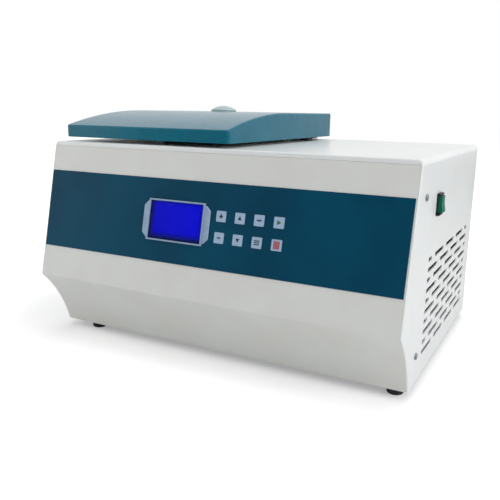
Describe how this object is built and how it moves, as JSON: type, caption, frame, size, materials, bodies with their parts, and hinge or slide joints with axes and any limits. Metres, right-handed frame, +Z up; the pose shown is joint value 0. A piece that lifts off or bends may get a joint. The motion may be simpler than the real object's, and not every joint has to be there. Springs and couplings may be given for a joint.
{
  "type": "refrigerated centrifuge",
  "caption": "Bench-top refrigerated centrifuge with a sloped control front, a hinged lid over a cooled rotor chamber and vents beside it.",
  "frame": {"origin": "on the bench under the middle of the cabinet", "axes": "+X to the right seen from the front, +Y to the back, +Z up"},
  "size_m": [0.6318, 0.4924, 0.395],
  "materials": {
    "cover_paint": "fine-textured white powder coat",
    "front_paint": "fine-textured light grey powder coat",
    "teal_film": "printed polyester film, fine matt grain",
    "silver_plastic": "satin silver lacquer",
    "clear_window": "clear acrylic",
    "blue_lcd": "lit blue liquid crystal panel",
    "key_plastic": "pale moulded caps",
    "circuit_board": "green solder mask",
    "teal_lacquer": "satin teal lacquer on moulded plastic",
    "liner_plastic": "light grey moulding",
    "foam": "rigid polyurethane foam",
    "cap_plastic": "translucent grey-green moulding",
    "black_rubber": "moulded black rubber",
    "stainless": "brushed stainless steel",
    "zinc_steel": "zinc-plated steel sheet",
    "bright_steel": "ground steel",
    "rotor_aluminium": "clear anodised aluminium",
    "cast_aluminium": "cast aluminium",
    "black_plastic": "black moulding",
    "green_rocker": "translucent green moulding",
    "laminations": "varnished electrical steel and windings",
    "black_paint": "semi-gloss black enamel",
    "copper": "bright copper tube"
  },
  "bodies": {
    "cabinet": {"base_pan": "zinc_steel", "cabinet_cover": "cover_paint", "chamber_bowl": "stainless", "chamber_insulation": "foam", "chamber_seal": "black_rubber", "chamber_supports": "zinc_steel", "compressor": "black_paint", "compressor_grommets": "black_rubber", "condenser": "cast_aluminium", "control_board": "circuit_board", "control_overlay": "teal_film", "display_bezel": "silver_plastic", "display_lens": "clear_window", "display_panel": "blue_lcd", "evaporator_jacket": "stainless", "fan_motor": "black_paint", "fan_shroud": "zinc_steel", "feet": "black_rubber", "front_panel": "front_paint", "hinge_base_leaves": "stainless", "hinge_pins": "bright_steel", "inverter": "cast_aluminium", "key_board": "circuit_board", "latch_body": "black_plastic", "lid_bumpers": "black_rubber", "motor_bearings": "bright_steel", "motor_dampers": "black_rubber", "motor_housing": "cast_aluminium", "motor_plate": "cast_aluminium", "motor_stator": "laminations", "partition": "zinc_steel", "power_inlet": "black_plastic", "rear_panel": "cover_paint", "rear_screws": "bright_steel", "refrigerant_lines": "copper", "side_screws": "bright_steel", "switch_housing": "black_plastic"},
    "lid": {"lid_shell": "teal_lacquer", "lid_liner": "liner_plastic", "lid_insulation": "foam", "sight_window": "clear_window", "sight_cap": "cap_plastic", "hinge_lid_leaves": "stainless", "hinge_lid_screws": "bright_steel", "lid_striker": "stainless"},
    "rotor": {"rotor": "rotor_aluminium", "rotor_nut": "bright_steel", "drive_shaft": "bright_steel", "motor_armature": "laminations"},
    "fan": {"fan_blades": "black_plastic"},
    "rocker": {"power_rocker": "green_rocker"},
    "lock_bolt": {"latch_bolt": "bright_steel"},
    "key_increase": {"key_increase": "key_plastic"},
    "key_cursor_up": {"key_cursor_up": "key_plastic"},
    "key_select": {"key_select": "key_plastic"},
    "key_start": {"key_start": "key_plastic"},
    "key_decrease": {"key_decrease": "key_plastic"},
    "key_cursor_down": {"key_cursor_down": "key_plastic"},
    "key_set": {"key_set": "key_plastic"},
    "key_stop": {"key_stop": "key_plastic"}
  },
  "joints": [
    {"name": "lid_hinge", "type": "hinge", "parent": "cabinet", "child": "lid", "pos_m": [-0.134, 0.2365, 0.34], "axis": [-1, 0, 0], "range_deg": [0, 80]},
    {"name": "rotor_spin", "type": "hinge", "parent": "cabinet", "child": "rotor", "pos_m": [-0.134, 0.067, 0.26], "axis": [0, 0, 1], "continuous": true},
    {"name": "fan_spin", "type": "hinge", "parent": "cabinet", "child": "fan", "pos_m": [0.25, 0.038, 0.1175], "axis": [1, 0, 0], "continuous": true},
    {"name": "power_rocker_tilt", "type": "hinge", "parent": "cabinet", "child": "rocker", "pos_m": [0.308, -0.0855, 0.2626], "axis": [0, 1, 0], "range_deg": [0, 10]},
    {"name": "lock_bolt_slide", "type": "slide", "parent": "cabinet", "child": "lock_bolt", "axis": [0, -1, 0], "range_m": [0, 0.012], "stiffness_N_per_m": 60, "springref_m": -0.004},
    {"name": "key_increase_press", "type": "slide", "parent": "cabinet", "child": "key_increase", "axis": [0, 0.9767, -0.2146], "range_m": [0, 0.0005], "stiffness_N_per_m": 300, "springref_m": -0.0005},
    {"name": "key_cursor_up_press", "type": "slide", "parent": "cabinet", "child": "key_cursor_up", "axis": [0, 0.9767, -0.2146], "range_m": [0, 0.0005], "stiffness_N_per_m": 300, "springref_m": -0.0005},
    {"name": "key_select_press", "type": "slide", "parent": "cabinet", "child": "key_select", "axis": [0, 0.9767, -0.2146], "range_m": [0, 0.0005], "stiffness_N_per_m": 300, "springref_m": -0.0005},
    {"name": "key_start_press", "type": "slide", "parent": "cabinet", "child": "key_start", "axis": [0, 0.9767, -0.2146], "range_m": [0, 0.0005], "stiffness_N_per_m": 300, "springref_m": -0.0005},
    {"name": "key_decrease_press", "type": "slide", "parent": "cabinet", "child": "key_decrease", "axis": [0, 0.9767, -0.2146], "range_m": [0, 0.0005], "stiffness_N_per_m": 300, "springref_m": -0.0005},
    {"name": "key_cursor_down_press", "type": "slide", "parent": "cabinet", "child": "key_cursor_down", "axis": [0, 0.9767, -0.2146], "range_m": [0, 0.0005], "stiffness_N_per_m": 300, "springref_m": -0.0005},
    {"name": "key_set_press", "type": "slide", "parent": "cabinet", "child": "key_set", "axis": [0, 0.9767, -0.2146], "range_m": [0, 0.0005], "stiffness_N_per_m": 300, "springref_m": -0.0005},
    {"name": "key_stop_press", "type": "slide", "parent": "cabinet", "child": "key_stop", "axis": [0, 0.9767, -0.2146], "range_m": [0, 0.0005], "stiffness_N_per_m": 300, "springref_m": -0.0005}
  ]
}
